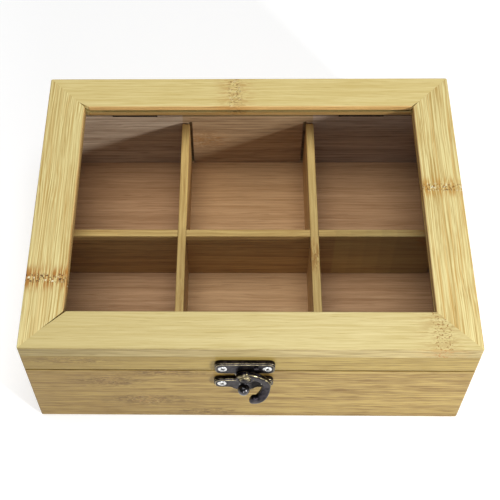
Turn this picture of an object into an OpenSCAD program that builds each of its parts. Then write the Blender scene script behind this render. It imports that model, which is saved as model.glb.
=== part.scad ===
// Tea bag organizer box: a bamboo case with six compartments under a hinged window lid,
// two butt hinges at the back and a hook latch at the front.
// Sizes are in millimetres. The box stands on Z = 0 with its front towards -Y.

/* [Case] */
// Outer width, left to right
case_w = 215; // [190:1:260]
// Outer depth, front to back
case_d = 165; // [145:1:200]
// Height of the walls, from the table to the lid
wall_h = 53; // [48:1:70]
// Thickness of the wall boards
wall_t = 8; // [7:0.5:10]
// Rounding of the upright outer corners
corner_r = 1.8; // [0.5:0.1:3]
// Rounding of the walls' long outer edges
wall_edge_r = 0.7; // [0.3:0.1:1.2]

/* [Base panel] */
// Thickness of the base panel
base_t = 4; // [3:0.5:6]
// Height of the base panel's underside above the table
base_lift = 6.5; // [4:0.5:10]
// How deep the base panel's groove is cut into the walls
base_groove = 4; // [3:0.5:4.5]

/* [Dividers] */
// Thickness of the dividers
divider_t = 4.3; // [3:0.1:6]
// Height of the dividers above the base panel
divider_h = 37; // [25:1:39]
// Clear width of the two middle compartments
middle_w = 65; // [55:1:75]
// Gap between a divider's ends and the walls
divider_gap = 0.6; // [0.3:0.1:1]

/* [Lid] */
// Width of the rails round the window
rail_w = 20; // [17:1:25]
// Thickness of the rails
rail_t = 8; // [7:0.5:10]
// Height of the skirt boards under the rails
skirt_h = 14; // [12:1:20]
// Rounding of the rails' outer top edge
rail_edge_r = 1.5; // [0.5:0.1:2]
// Rounding of the rails' edge at the window
window_edge_r = 0.6; // [0.3:0.1:1]
// Thickness of the window pane
pane_t = 2; // [1.5:0.1:3]
// Depth of the pane below the top of the rails
pane_drop = 2.8; // [2:0.1:3.4]
// How deep the pane's groove is cut into the rails
pane_groove = 5; // [4:0.5:7]

/* [Hinges] */
// Length of each hinge
hinge_len = 25; // [20:1:35]
// Distance of each hinge's middle from the box's middle
hinge_x = 63; // [50:1:75]
// Thickness of a hinge leaf
leaf_t = 0.7; // [0.5:0.1:1]
// Outer radius of the hinge knuckles
knuckle_r = 1.6; // [1.4:0.1:2.2]
// Radius of the hinge pin
hinge_pin_r = 0.75; // [0.6:0.05:1]
// Number of knuckles on one hinge
knuckles = 5; // [3:2:7]
// Distance between the two screws of a leaf
leaf_screw_gap = 16; // [12:1:18]
// Length of a hinge screw
leaf_screw_len = 8; // [6:0.5:10]

/* [Latch plates] */
// Place of the hook plate's middle, left of the box's middle when negative
hook_plate_x = -1.9; // [-10:0.1:10]
// Place of the catch plate's middle, left of the hook plate's middle when negative
catch_shift = -0.5; // [-1:0.1:1]
// Width of both latch plates
plate_w = 28.5; // [26:0.5:34]
// Thickness of both latch plates
plate_t = 2.5; // [2.2:0.1:3]
// Height of the hook plate above the lid's lower edge
hook_plate_top = 11.2; // [10:0.1:11.8]
// Bottom of the hook plate's ears above the lid's lower edge
hook_plate_low = 1.3; // [0.5:0.1:2]
// Top of the catch plate below the lid's lower edge
catch_plate_drop = 5; // [4.8:0.1:7]
// Height of the catch plate's ears
catch_plate_h = 8.4; // [7:0.1:10]
// Corner radius of the plates
plate_corner_r = 3.2; // [2:0.1:3.4]
// Radius of the round swell below the catch peg
catch_swell_r = 7.6; // [7:0.1:8.2]
// Distance of a plate screw from the plate's end
plate_screw_in = 3.75; // [3.2:0.05:4.5]
// Radius of a plate screw's head
plate_screw_head_r = 2.3; // [2:0.1:2.5]
// Length of a plate screw
plate_screw_len = 7.5; // [6:0.5:9]

/* [Hook] */
// Height of the hook's rivet above the lid's lower edge
rivet_z = 1.1; // [0.5:0.1:2]
// Outer radius of the hook's eye
eye_r = 4.3; // [3.8:0.1:4.6]
// Thickness of the hook's eye
eye_t = 2.7; // [2:0.1:3]
// Radius of the rivet's shank
rivet_r = 1.5; // [1.2:0.1:1.8]
// Radius of the rivet's head
rivet_head_r = 2.7; // [2.4:0.1:3.2]
// Height of the rivet's head
rivet_head_out = 0.8; // [0.6:0.1:1]
// How far the hook's arm bows out sideways from the rivet
hook_reach = 9.9; // [9.5:0.1:11]
// How far the hook's tail hangs below the rivet
hook_drop = 19.2; // [18.5:0.1:21]
// Width of the hook's arm at its outermost point
arm_w = 3.7; // [3.2:0.1:4.2]
// Width of the hook's tail
tail_w = 4.7; // [4:0.1:5]
// How far the tail stands forward of the eye
tail_forward = 2.5; // [2:0.1:3.5]
// Thickness of the hook's tail
tail_t = 3; // [2.4:0.1:3.4]
// How far the lug round the rivet stands out past the hook's eye
lug_margin = 0.8; // [0.4:0.1:0.9]
// Radius of the stop pip on the hook plate
pip_r = 1.2; // [0.8:0.1:1.4]
// Distance of the stop pip from the rivet
pip_away = 8.9; // [8.6:0.1:9.4]
// Height of the stop pip above its plate
pip_out = 1; // [0.8:0.1:1.2]

/* [Catch peg] */
// Height of the peg below the lid's lower edge
peg_drop = 9.3; // [9:0.1:10]
// Radius of the peg's ball
ball_r = 2.95; // [2.5:0.05:3]
// Distance of the ball's middle from the catch plate's face
ball_out = 3; // [2.9:0.1:3.6]
// Radius of the peg's neck
neck_r = 1.5; // [1.2:0.1:1.8]

/* [Hidden] */
$fn = 64;

// Colours
bamboo_light = [0.87, 0.74, 0.50];
bamboo_side = [0.83, 0.68, 0.42];
bamboo_inner = [0.72, 0.53, 0.35];
old_bronze = [0.20, 0.18, 0.15];
bright_steel = [0.82, 0.82, 0.80];
clear_pane = [0.80, 0.85, 0.85, 0.35];

// Clearances
slide_gap = 0.1;      // a panel in its groove, a lap on its slot
panel_end_gap = 0.5;  // a panel's edge short of its groove's bottom
screw_gap = 0.04;     // round a screw or rivet in its hole
turn_gap = 0.05;      // round a pin or rivet that a part turns on
knuckle_gap = 0.15;   // between neighbouring knuckles
wall_gap = 0.3;       // a moving part beside a wall or plate
hook_gap = 0.3;       // between the hook's eye and its plate
flush_gap = 0.05;     // a screw head below its leaf

// Screws
leaf_screw_r = 0.9;
leaf_head_r = 1.65;
plate_screw_r = 1.2;
plate_head_cone = 1.2;
plate_head_dome = 0.25;
hole_end_gap = 0.4;

// How far a cut runs past the face it opens
past = 1;

// Direction of the stop pip from the rivet, above level
pip_angle = 53;

// Places that follow from the sizes above
knuckle_out = knuckle_r + wall_gap;
eye_back = plate_t + hook_gap;
eye_mid = eye_back + eye_t / 2;
latch_reach = max(eye_mid + tail_forward + tail_t / 2, plate_t + ball_out + ball_r);
back_reach = knuckle_out + knuckle_r;
case_y = (latch_reach - back_reach) / 2;
front_y = case_y - case_d / 2;
back_y = case_y + case_d / 2;
floor_z = base_lift + base_t;
divider_x = (middle_w + divider_t) / 2;
rail_z = wall_h + skirt_h;
pane_z = rail_z + rail_t - pane_drop - pane_t;
screw_y = back_y - wall_t / 2;
pivot_y = back_y + knuckle_out;
catch_x = hook_plate_x + catch_shift;
hook_plate_mid = (hook_plate_top + hook_plate_low) / 2;
catch_plate_mid = -catch_plate_drop - catch_plate_h / 2;
plate_screw_x = plate_w / 2 - plate_screw_in;
knuckle_len = hinge_len / knuckles;
BOTH = [-1, 1];

// ---------- Boards ----------

// Part of a corner that lies outside its rounding, in the quarter x > 0, y > 0
module corner_waste(r) {
  difference() {
    translate([-past, -past]) square(r + past);
    translate([r, r]) circle(r);
  }
}

// Section of a board: x runs inwards from the outer face, y upwards
module board_section(w, h, low_r, high_r, inner_r = 0) {
  difference() {
    square([w, h]);
    if (low_r > 0) corner_waste(low_r);
    if (high_r > 0) translate([0, h]) mirror([0, 1]) corner_waste(high_r);
    if (inner_r > 0) translate([w, h]) mirror([1, 0]) mirror([0, 1]) corner_waste(inner_r);
  }
}

// Outline of the box from above, with its rounded corners
module box_outline() {
  square([case_w - 2 * corner_r, case_d], center = true);
  square([case_w, case_d - 2 * corner_r], center = true);
  for (x = [-1, 1], y = [-1, 1])
    translate([x * (case_w / 2 - corner_r), y * (case_d / 2 - corner_r)]) circle(corner_r);
}

// Stands a section up as a board along X, with its outer face on the plane Y = 0
module lay_board(len) {
  rotate([90, 0, 90]) linear_extrude(height = len, center = true) children();
}

// Mitred board of width w and height h: its section is the child
module mitred_board(len, w, h) {
  intersection() {
    lay_board(len) children();
    linear_extrude(height = h)
      polygon([[-len / 2, 0], [len / 2, 0], [len / 2 - w, w], [w - len / 2, w]]);
  }
}

// Moves a board to one side of the box: 0 front, 1 right, 2 back, 3 left
module at_side(side, z) {
  intersection() {
    translate([0, case_y, z]) rotate(side * 90)
      translate([0, side % 2 == 0 ? -case_d / 2 : -case_w / 2, 0]) children();
    translate([0, case_y, 0]) linear_extrude(height = rail_z + rail_t) box_outline();
  }
}

function side_len(side) = side % 2 == 0 ? case_w : case_d;

module wall(side) {
  at_side(side, 0) mitred_board(side_len(side), wall_t, wall_h)
    difference() {
      board_section(wall_t, wall_h, wall_edge_r, wall_edge_r);
      translate([wall_t - base_groove, base_lift])
        square([base_groove + past, base_t + slide_gap]);
    }
}

module skirt(side) {
  at_side(side, wall_h) mitred_board(side_len(side), wall_t, skirt_h)
    board_section(wall_t, skirt_h, wall_edge_r, 0);
}

module rail(side) {
  at_side(side, rail_z) mitred_board(side_len(side), rail_w, rail_t)
    difference() {
      board_section(rail_w, rail_t, 0, rail_edge_r, window_edge_r);
      translate([rail_w - pane_groove, pane_z - rail_z])
        square([pane_groove + past, pane_t + slide_gap]);
    }
}

module panel(inset, t, z) {
  translate([0, case_y, z + t / 2])
    cube([case_w - 2 * inset, case_d - 2 * inset, t], center = true);
}

// ---------- Screws ----------

// Low round cap of radius r and height h on the plane Z = 0
module dome(r, h) {
  ball_r = (r * r + h * h) / (2 * h);
  intersection() {
    translate([0, 0, h - ball_r]) sphere(ball_r);
    cylinder(r = r, h = h);
  }
}

// Wood screw with its head's top at Z = 0, pointing down
module screw(r, head_r, cone, dome, len, grow = 0) {
  tip = 2 * r;
  difference() {
    union() {
      translate([0, 0, -cone]) cylinder(r1 = r + grow, r2 = head_r + grow, h = cone);
      translate([0, 0, tip - len]) cylinder(r = r + grow, h = len - tip - cone / 2);
      translate([0, 0, -len]) cylinder(r1 = r / 4 + grow, r2 = r + grow, h = tip);
      if (dome > 0) dome(head_r, dome);
    }
    if (grow == 0) cross_recess(head_r, cone, dome);
  }
}

// Cross recess in a screw head
module cross_recess(head_r, cone, dome) {
  deep = cone * 0.6 + dome;
  for (turn = [0, 90]) rotate(turn)
    translate([0, 0, dome - deep / 2 + 0.05])
      cube([head_r * 1.1, head_r * 0.24, deep + 0.1], center = true);
}

// Hole that the screw above fills, open at its head
module screw_hole(r, head_r, cone, len) {
  screw(r, head_r, cone, 0, len + hole_end_gap, screw_gap);
  cylinder(r = head_r + screw_gap, h = 3 * past);
}

module leaf_screw() { screw(leaf_screw_r, leaf_head_r, leaf_t - flush_gap, 0, leaf_screw_len); }

module leaf_screw_hole() { screw_hole(leaf_screw_r, leaf_head_r, leaf_t - flush_gap, leaf_screw_len); }

module plate_screw() {
  screw(plate_screw_r, plate_screw_head_r, plate_head_cone, plate_head_dome, plate_screw_len);
}

module plate_screw_hole() {
  screw_hole(plate_screw_r, plate_screw_head_r, plate_head_cone, plate_screw_len);
}

// Places of the leaf screws: up = 1 points them into the lid, -1 into the case
module at_leaf_screws(up, sides) {
  for (side = sides, end = [-1, 1])
    translate([side * hinge_x + end * leaf_screw_gap / 2, screw_y, wall_h + up * flush_gap])
      rotate([up > 0 ? 180 : 0, 0, 0]) children();
}

// Places of the plate screws on the front of the box, seen from the front
module at_plate_screws(x, z) {
  for (end = [-1, 1])
    translate([x + end * plate_screw_x, front_y - plate_t, wall_h + z])
      rotate([90, 0, 0]) children();
}

// ---------- Hinges ----------

// Recess for one leaf: up = 1 in the lid, -1 in the case
module leaf_recess(side, up) {
  translate([side * hinge_x, back_y, wall_h + up * leaf_t / 2])
    cube([hinge_len + 2 * slide_gap, 2 * (wall_t + past), leaf_t], center = true);
}

// Hinge leaf with its knuckles: the case leaf has the outer ones
module hinge_leaf(side, up) {
  first = up > 0 ? 1 : 0;
  difference() {
    translate([side * hinge_x, pivot_y, wall_h]) {
      translate([-hinge_len / 2, -knuckle_out - wall_t, up > 0 ? 0 : -leaf_t])
        cube([hinge_len, wall_t, leaf_t]);
      for (i = [first : 2 : knuckles - 1]) {
        low = i * knuckle_len - hinge_len / 2 + (i > 0 ? knuckle_gap / 2 : 0);
        high = (i + 1) * knuckle_len - hinge_len / 2 - (i < knuckles - 1 ? knuckle_gap / 2 : 0);
        translate([low, -knuckle_out, up > 0 ? 0 : -leaf_t])
          cube([high - low, knuckle_out, leaf_t]);
        translate([low, 0, 0]) rotate([0, 90, 0]) cylinder(r = knuckle_r, h = high - low);
      }
    }
    translate([side * hinge_x, pivot_y, wall_h]) rotate([0, 90, 0])
      cylinder(r = hinge_pin_r + turn_gap, h = hinge_len + 2 * past, center = true);
    at_leaf_screws(up, [side]) leaf_screw_hole();
  }
}

module hinge_pin(side) {
  translate([side * hinge_x, pivot_y, wall_h]) rotate([0, 90, 0])
    cylinder(r = hinge_pin_r, h = hinge_len, center = true);
}

// ---------- Latch ----------

// Turns a shape drawn on XY, with +Z towards the viewer, onto the front of the box
module on_front(x, z, out = 0) {
  translate([x, front_y - out, wall_h + z]) rotate([90, 0, 0]) children();
}

module rounded_plate(w, h, r) {
  square([w - 2 * r, h], center = true);
  square([w, h - 2 * r], center = true);
  for (x = [-1, 1], y = [-1, 1])
    translate([x * (w / 2 - r), y * (h / 2 - r)]) circle(r);
}

module hook_plate_body() {
  on_front(hook_plate_x, hook_plate_mid) linear_extrude(height = plate_t)
    rounded_plate(plate_w, hook_plate_top - hook_plate_low, plate_corner_r);
  on_front(hook_plate_x, rivet_z, wall_gap)
    cylinder(r = eye_r + lug_margin, h = plate_t - wall_gap);
  on_front(hook_plate_x, rivet_z, plate_t / 2) rotate(pip_angle) translate([pip_away, 0, 0])
    cylinder(r = pip_r, h = plate_t / 2 + pip_out);
}

module catch_plate_body() {
  on_front(catch_x, catch_plate_mid) linear_extrude(height = plate_t)
    rounded_plate(plate_w, catch_plate_h, plate_corner_r);
  on_front(catch_x, -peg_drop) linear_extrude(height = plate_t)
    intersection() {
      circle(catch_swell_r);
      translate([-catch_swell_r, -2 * catch_swell_r])
        square([2 * catch_swell_r, 2 * catch_swell_r + peg_drop + catch_plate_mid]);
    }
}

// Centre line of the hook's arm and tail, as two curves seen from the front,
// measured across and up from the rivet
elbow = [hook_reach, -0.41 * hook_drop];
arm_curve = [
  [0.2 * eye_r, 0.5 * eye_r], [0.58 * hook_reach, 0.5 * eye_r],
  [hook_reach, -0.56 * eye_r], elbow
];
tail_curve = [
  elbow, [hook_reach, -0.7 * hook_drop],
  [0.93 * hook_reach, -1.04 * hook_drop], [0.5 * hook_reach, -hook_drop]
];
curve_steps = 18;
section_sides = 18;
arm_t = eye_t - 0.1;
tail_cap = 1.8;

function bezier(p, t) =
  pow(1 - t, 3) * p[0] + 3 * t * pow(1 - t, 2) * p[1] + 3 * t * t * (1 - t) * p[2] + pow(t, 3) * p[3];
function bezier_way(p, t) =
  3 * pow(1 - t, 2) * (p[1] - p[0]) + 6 * t * (1 - t) * (p[2] - p[1]) + 3 * t * t * (p[3] - p[2]);
function smooth(t) = t * t * (3 - 2 * t);
function mix(a, b, t) = a + (b - a) * t;

// Hook at s, from 0 at the eye over 1 at the elbow to 2 at the tail's end:
// [place, direction, width, thickness, forward shift]
function hook_at(s) =
  let (in_arm = s <= 1, t = in_arm ? s : s - 1)
  let (p = in_arm ? arm_curve : tail_curve, d = bezier_way(p, t))
  [bezier(p, t), d / norm(d),
   in_arm ? mix(eye_r, arm_w, smooth(t)) : mix(arm_w, tail_w, smooth(t)),
   in_arm ? arm_t : mix(arm_t, tail_t, t),
   in_arm ? 0 : tail_forward * smooth(t)];

// Point of a flattened round section at angle a
function section_point(a, w, t) =
  [sign(cos(a)) * pow(abs(cos(a)), 0.75) * w / 2, sign(sin(a)) * pow(abs(sin(a)), 0.75) * t / 2];

// Ring of points round the hook at s, shrunk to size and moved ahead along the hook
function hook_ring(s, size = 1, ahead = 0) =
  let (h = hook_at(s), d = h[1], n = [-d[1], d[0]], c = h[0] + d * ahead)
  [for (k = [0 : section_sides - 1])
    let (q = section_point(360 * (k + 0.5) / section_sides, h[2] * size, h[3] * size))
    [c[0] + n[0] * q[0], c[1] + n[1] * q[0], h[4] + q[1]]];

// Arm and tail of the hook as one skin, with a round cap on the tail's end
module hook_arm() {
  rings = concat(
    [for (i = [0 : 2 * curve_steps]) hook_ring(i / curve_steps)],
    [for (a = [25, 50, 70, 84]) hook_ring(2, cos(a), tail_cap * sin(a))]);
  n = section_sides;
  last = len(rings) - 1;
  sides = [for (i = [0 : last - 1], k = [0 : n - 1], half = [0, 1])
    let (a = i * n + k, b = i * n + (k + 1) % n)
    half == 0 ? [a, a + n, b] : [b, a + n, b + n]];
  start_cap = [for (k = [1 : n - 2]) [0, k, k + 1]];
  end_cap = [for (k = [1 : n - 2]) [last * n, last * n + k + 1, last * n + k]];
  polyhedron(points = [for (r = rings) each r], faces = concat(sides, start_cap, end_cap));
}

// ---------- Sub-parts ----------

module front_wall() {
  color(bamboo_side) difference() {
    wall(0);
    at_plate_screws(catch_x, catch_plate_mid) plate_screw_hole();
  }
}

module back_wall() {
  color(bamboo_side) difference() {
    wall(2);
    for (side = BOTH) leaf_recess(side, -1);
    at_leaf_screws(-1, BOTH) leaf_screw_hole();
  }
}

module left_wall() { color(bamboo_side) wall(3); }

module right_wall() { color(bamboo_side) wall(1); }

module base_panel() {
  color(bamboo_inner) panel(wall_t - base_groove + panel_end_gap, base_t, base_lift);
}

// Front-to-back divider, slotted from below at the cross divider
module long_divider(side) {
  len = case_d - 2 * (wall_t + divider_gap);
  color(bamboo_inner) translate([side * divider_x, case_y, floor_z]) difference() {
    translate([-divider_t / 2, -len / 2, 0]) cube([divider_t, len, divider_h]);
    translate([-divider_t, -divider_t / 2 - slide_gap, -past])
      cube([2 * divider_t, divider_t + 2 * slide_gap, divider_h / 2 + slide_gap + past]);
  }
}

module left_divider() { long_divider(-1); }

module right_divider() { long_divider(1); }

// Side-to-side divider, slotted from above at the long dividers
module cross_divider() {
  len = case_w - 2 * (wall_t + divider_gap);
  color(bamboo_inner) translate([0, case_y, floor_z]) difference() {
    translate([-len / 2, -divider_t / 2, 0]) cube([len, divider_t, divider_h]);
    for (side = BOTH)
      translate([side * divider_x - divider_t / 2 - slide_gap, -divider_t, divider_h / 2])
        cube([divider_t + 2 * slide_gap, 2 * divider_t, divider_h]);
  }
}

module front_rail() { color(bamboo_light) rail(0); }

module back_rail() { color(bamboo_light) rail(2); }

module left_rail() { color(bamboo_light) rail(3); }

module right_rail() { color(bamboo_light) rail(1); }

module window_pane() {
  color(clear_pane) panel(rail_w - pane_groove + panel_end_gap, pane_t, pane_z);
}

module front_skirt() {
  color(bamboo_side) difference() {
    skirt(0);
    at_plate_screws(hook_plate_x, hook_plate_mid) plate_screw_hole();
  }
}

module back_skirt() {
  color(bamboo_side) difference() {
    skirt(2);
    for (side = BOTH) leaf_recess(side, 1);
    at_leaf_screws(1, BOTH) leaf_screw_hole();
  }
}

module left_skirt() { color(bamboo_side) skirt(3); }

module right_skirt() { color(bamboo_side) skirt(1); }

module left_hinge_case_leaf() { color(old_bronze) hinge_leaf(-1, -1); }

module left_hinge_lid_leaf() { color(old_bronze) hinge_leaf(-1, 1); }

module left_hinge_pin() { color(old_bronze) hinge_pin(-1); }

module right_hinge_case_leaf() { color(old_bronze) hinge_leaf(1, -1); }

module right_hinge_lid_leaf() { color(old_bronze) hinge_leaf(1, 1); }

module right_hinge_pin() { color(old_bronze) hinge_pin(1); }

module hinge_case_screws() { color(old_bronze) at_leaf_screws(-1, BOTH) leaf_screw(); }

module hinge_lid_screws() { color(old_bronze) at_leaf_screws(1, BOTH) leaf_screw(); }

module hook_plate() {
  color(old_bronze) difference() {
    hook_plate_body();
    at_plate_screws(hook_plate_x, hook_plate_mid) plate_screw_hole();
    on_front(hook_plate_x, rivet_z, -past) cylinder(r = rivet_r + screw_gap, h = plate_t + 2 * past);
  }
}

module hook_plate_screws() {
  color(bright_steel) at_plate_screws(hook_plate_x, hook_plate_mid) plate_screw();
}

module hook_rivet() {
  head_z = eye_back + eye_t + turn_gap;
  color(old_bronze) on_front(hook_plate_x, rivet_z) {
    translate([0, 0, wall_gap]) cylinder(r = rivet_r, h = head_z - wall_gap);
    translate([0, 0, head_z]) dome(rivet_head_r, rivet_head_out);
  }
}

module hook() {
  color(old_bronze) on_front(hook_plate_x, rivet_z, eye_mid) difference() {
    union() {
      cylinder(r = eye_r, h = eye_t, center = true);
      hook_arm();
    }
    cylinder(r = rivet_r + turn_gap, h = 2 * eye_t, center = true);
  }
}

module catch_plate() {
  color(old_bronze) difference() {
    catch_plate_body();
    at_plate_screws(catch_x, catch_plate_mid) plate_screw_hole();
    on_front(catch_x, -peg_drop, -past) cylinder(r = neck_r + screw_gap, h = plate_t + 2 * past);
  }
}

module catch_plate_screws() {
  color(bright_steel) at_plate_screws(catch_x, catch_plate_mid) plate_screw();
}

module catch_peg() {
  color(old_bronze) on_front(catch_x, -peg_drop) {
    translate([0, 0, screw_gap]) cylinder(r = neck_r, h = plate_t + ball_out - screw_gap);
    translate([0, 0, plate_t + ball_out]) sphere(ball_r);
  }
}

front_wall();
back_wall();
left_wall();
right_wall();
base_panel();
left_divider();
right_divider();
cross_divider();
front_rail();
back_rail();
left_rail();
right_rail();
window_pane();
front_skirt();
back_skirt();
left_skirt();
right_skirt();
left_hinge_case_leaf();
left_hinge_lid_leaf();
left_hinge_pin();
right_hinge_case_leaf();
right_hinge_lid_leaf();
right_hinge_pin();
hinge_case_screws();
hinge_lid_screws();
hook_plate();
hook_plate_screws();
hook_rivet();
hook();
catch_plate();
catch_plate_screws();
catch_peg();
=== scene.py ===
# %% [markdown]
# # A bamboo tea bag organizer with a window lid and a hook latch
# The exact model of the box is already packed: its bodies, hinges and sizes are fixed. This lesson
# dresses it. Boards, latch and screws are worked out again as fine meshes in the places that the
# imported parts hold, and each surface gets its own finish.

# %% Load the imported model
from collections import namedtuple

import bmesh
import bpy
import numpy as np
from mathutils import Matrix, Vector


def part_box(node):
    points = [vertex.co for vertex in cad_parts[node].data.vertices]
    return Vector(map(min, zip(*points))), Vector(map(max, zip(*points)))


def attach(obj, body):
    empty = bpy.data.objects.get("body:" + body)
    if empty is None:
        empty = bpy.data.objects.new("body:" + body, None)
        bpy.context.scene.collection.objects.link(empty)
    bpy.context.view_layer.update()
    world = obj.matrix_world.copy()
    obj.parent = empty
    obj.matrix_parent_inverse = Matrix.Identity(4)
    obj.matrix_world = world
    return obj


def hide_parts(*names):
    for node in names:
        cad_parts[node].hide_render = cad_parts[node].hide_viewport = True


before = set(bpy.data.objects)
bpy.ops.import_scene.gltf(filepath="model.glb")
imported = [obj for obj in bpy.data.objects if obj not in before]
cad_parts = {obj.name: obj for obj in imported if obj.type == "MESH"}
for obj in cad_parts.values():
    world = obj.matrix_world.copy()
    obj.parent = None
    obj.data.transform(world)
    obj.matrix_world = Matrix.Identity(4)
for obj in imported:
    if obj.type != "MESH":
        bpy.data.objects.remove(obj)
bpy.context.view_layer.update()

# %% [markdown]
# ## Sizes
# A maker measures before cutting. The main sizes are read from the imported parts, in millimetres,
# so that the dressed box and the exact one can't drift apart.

MM = 0.001


def limits(node):
    """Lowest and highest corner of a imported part, in millimetres."""
    low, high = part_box(node)
    return np.array(low) / MM, np.array(high) / MM


FRONT, RIGHT, BACK, LEFT = range(4)
SIDES = {"front": FRONT, "right": RIGHT, "back": BACK, "left": LEFT}
wall_low, wall_high = limits("front_wall")
back_y = limits("back_wall")[1][1]
rail_low, rail_high = limits("front_rail")
pane_low, pane_high = limits("window_pane")
base_low, base_high = limits("base_panel")
box_w, front_y = limits("right_wall")[1][0] - limits("left_wall")[0][0], wall_low[1]
box_d, box_y = back_y - front_y, (back_y + front_y) / 2
wall_t, wall_h = wall_high[1] - wall_low[1], wall_high[2]
rail_w, rail_z, lid_z = rail_high[1] - rail_low[1], rail_low[2], rail_high[2]
print(f"box {box_w:.1f} x {box_d:.1f} x {lid_z:.1f} mm, walls {wall_t:.1f}, rails {rail_w:.1f} wide")

# %% [markdown]
# ## The camera
# The photo looks down on the box from the front with a longish lens. The place and the turn were
# worked out from the box's corners; a small sideways shift stands for the crop of the picture.

# %% Place the camera
camera_data = bpy.data.cameras.new("camera")
camera_data.lens, camera_data.sensor_width = 75.6, 36.0
camera_data.shift_x, camera_data.shift_y = 0.0755, -0.0022
camera_data.clip_start, camera_data.clip_end = 0.01, 20.0
camera = bpy.data.objects.new("camera", camera_data)
camera.location = np.array([-4.48, box_y - 304.53, 505.14]) * MM
camera.rotation_euler = np.radians([32.77, 1.206, 0.878])
bpy.context.scene.collection.objects.link(camera)
bpy.context.scene.camera = camera
print(f"camera {camera.location.length:.2f} m from the box, lens {camera_data.lens:.1f} mm")

# %% [markdown]
# ## Light and floor
# The box was photographed on a lit white table: the ground is pure white and hardly any shadow
# shows. One large soft lamp hangs over the box. A small one stands low to the right of the front:
# the dividers throw their slanting shadows on the back wall from there, at about 25 degrees. A
# weaker one straight in front lies so low that, past the front rail, it only reaches the upper
# half of the back wall.

# %% Set the studio
def softbox(name, place, aim, size, power, tint=(1.0, 1.0, 1.0)):
    """A round lamp at place, in metres, that faces the point aim."""
    lamp = bpy.data.lights.new(name, "AREA")
    lamp.shape, lamp.size, lamp.energy, lamp.color = "DISK", size, power, tint
    holder = bpy.data.objects.new(name, lamp)
    holder.location = place
    way = np.array(aim) - np.array(place)
    holder.rotation_euler = (np.arctan2(np.hypot(way[0], way[1]), -way[2]), 0.0,
                             np.arctan2(way[0], -way[1]) + np.pi)
    bpy.context.scene.collection.objects.link(holder)


softbox("overhead", (-0.05, 0.03, 1.30), (0, 0.06, 0), 1.0, 11.8)
softbox("key", (0.50, -0.50, 0.27), (0, 0, 0.05), 0.08, 4.7, (1.0, 0.99, 0.97))
softbox("front", (0.02, -0.85, 0.23), (0, 0, 0.05), 0.16, 2.2, (0.96, 0.98, 1.0))

world = bpy.data.worlds.new("studio")
world.use_nodes = True
world.node_tree.nodes["Background"].inputs["Color"].default_value = (0.97, 0.985, 1.0, 1.0)
world.node_tree.nodes["Background"].inputs["Strength"].default_value = 0.11
bpy.context.scene.world = world
bpy.context.scene.view_settings.view_transform = "Standard"
print("lamps:", ", ".join(lamp.name for lamp in bpy.data.lights))

# %% [markdown]
# ## A way to write materials
# A finish is a graph of nodes. The small class below holds one socket of such a graph, so that
# sums and products of values can be written as in ordinary Python and add their Math nodes.

# %% Wrap a socket
class Wire:
    """One value, vector or colour in a material's graph of nodes."""

    def __init__(self, tree, socket):
        self.tree, self.socket = tree, socket

    def node(self, kind, settings=None, inputs=None, out=0):
        """Adds a node, with its settings first and its inputs after, and returns one output."""
        made = self.tree.nodes.new(kind)
        for name, value in (settings or {}).items():
            setattr(made, name, value)
        for name, value in (inputs or {}).items():
            if isinstance(value, Wire):
                self.tree.links.new(value.socket, made.inputs[name])
            else:
                made.inputs[name].default_value = value
        return Wire(self.tree, made.outputs[out])

    def math(self, operation, first, second=0.0):
        return self.node("ShaderNodeMath", {"operation": operation}, {0: first, 1: second})

    def __add__(self, other):
        return self.math("ADD", self, other)

    def __sub__(self, other):
        return self.math("SUBTRACT", self, other)

    def __rsub__(self, other):
        return self.math("SUBTRACT", other, self)

    def __mul__(self, other):
        return self.math("MULTIPLY", self, other)

    def __truediv__(self, other):
        return self.math("DIVIDE", self, other)

    __radd__, __rmul__ = __add__, __mul__

    def smooth(self, low, high):
        """0 below low, 1 above high, and an S-curve between."""
        return self.node("ShaderNodeMapRange", {"interpolation_type": "SMOOTHSTEP"},
                         {"Value": self, "From Min": low, "From Max": high})

    def bell(self, middle, width):
        """exp(-((value - middle) / width) ** 2)."""
        far = (self - middle) / width
        return self.math("EXPONENT", 0.0 - far * far)

    def scaled(self, x, y, z):
        """The vector times (x, y, z), part by part."""
        return self.node("ShaderNodeVectorMath", {"operation": "MULTIPLY"}, {0: self, 1: (x, y, z)})

    def moved(self, other):
        """The vector plus another."""
        return self.node("ShaderNodeVectorMath", {"operation": "ADD"}, {0: self, 1: other})

    def vector(self, x, y, z):
        return self.node("ShaderNodeCombineXYZ", {}, {0: x, 1: y, 2: z})

    def cloud(self, detail=2.0, rough=0.5):
        """Soft noise, about 0.5 on the average, at the scale of the vector."""
        return self.node("ShaderNodeTexNoise", {}, {
            "Vector": self, "Scale": 1.0, "Detail": detail, "Roughness": rough})

    def mix(self, first, second):
        """Colour between first at 0 and second at 1."""
        return self.node("ShaderNodeMix", {"data_type": "RGBA"},
                         {0: self, 6: first, 7: second}, out=2)


# %% [markdown]
# Colours are given as screen colours, so a helper turns them into the linear values that light is reckoned
# in. Two more start a finish and plug wires into it. All patterns read Object coordinates, here in
# millimetres: every piece lies where it belongs, so the grain has its real scale and place on each of them.

# %% Start a finish
def ink(red, green, blue):
    """Linear colour of a screen colour given as 0 to 255."""
    part = np.array([red, green, blue]) / 255
    line = np.where(part <= 0.04045, part / 12.92, ((part + 0.055) / 1.055) ** 2.4)
    return (*line.tolist(), 1.0)


def new_finish(name, **constants):
    """A material with one Principled shader. Returns it, the shader and Object coordinates in mm."""
    finish = bpy.data.materials.new(name)
    finish.use_nodes = True
    shader = finish.node_tree.nodes["Principled BSDF"]
    for socket, value in constants.items():
        shader.inputs[socket.replace("_", " ")].default_value = value
    start = Wire(finish.node_tree, None)
    here = start.node("ShaderNodeTexCoord", out="Object").scaled(1 / MM, 1 / MM, 1 / MM)
    return finish, shader, here


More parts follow.
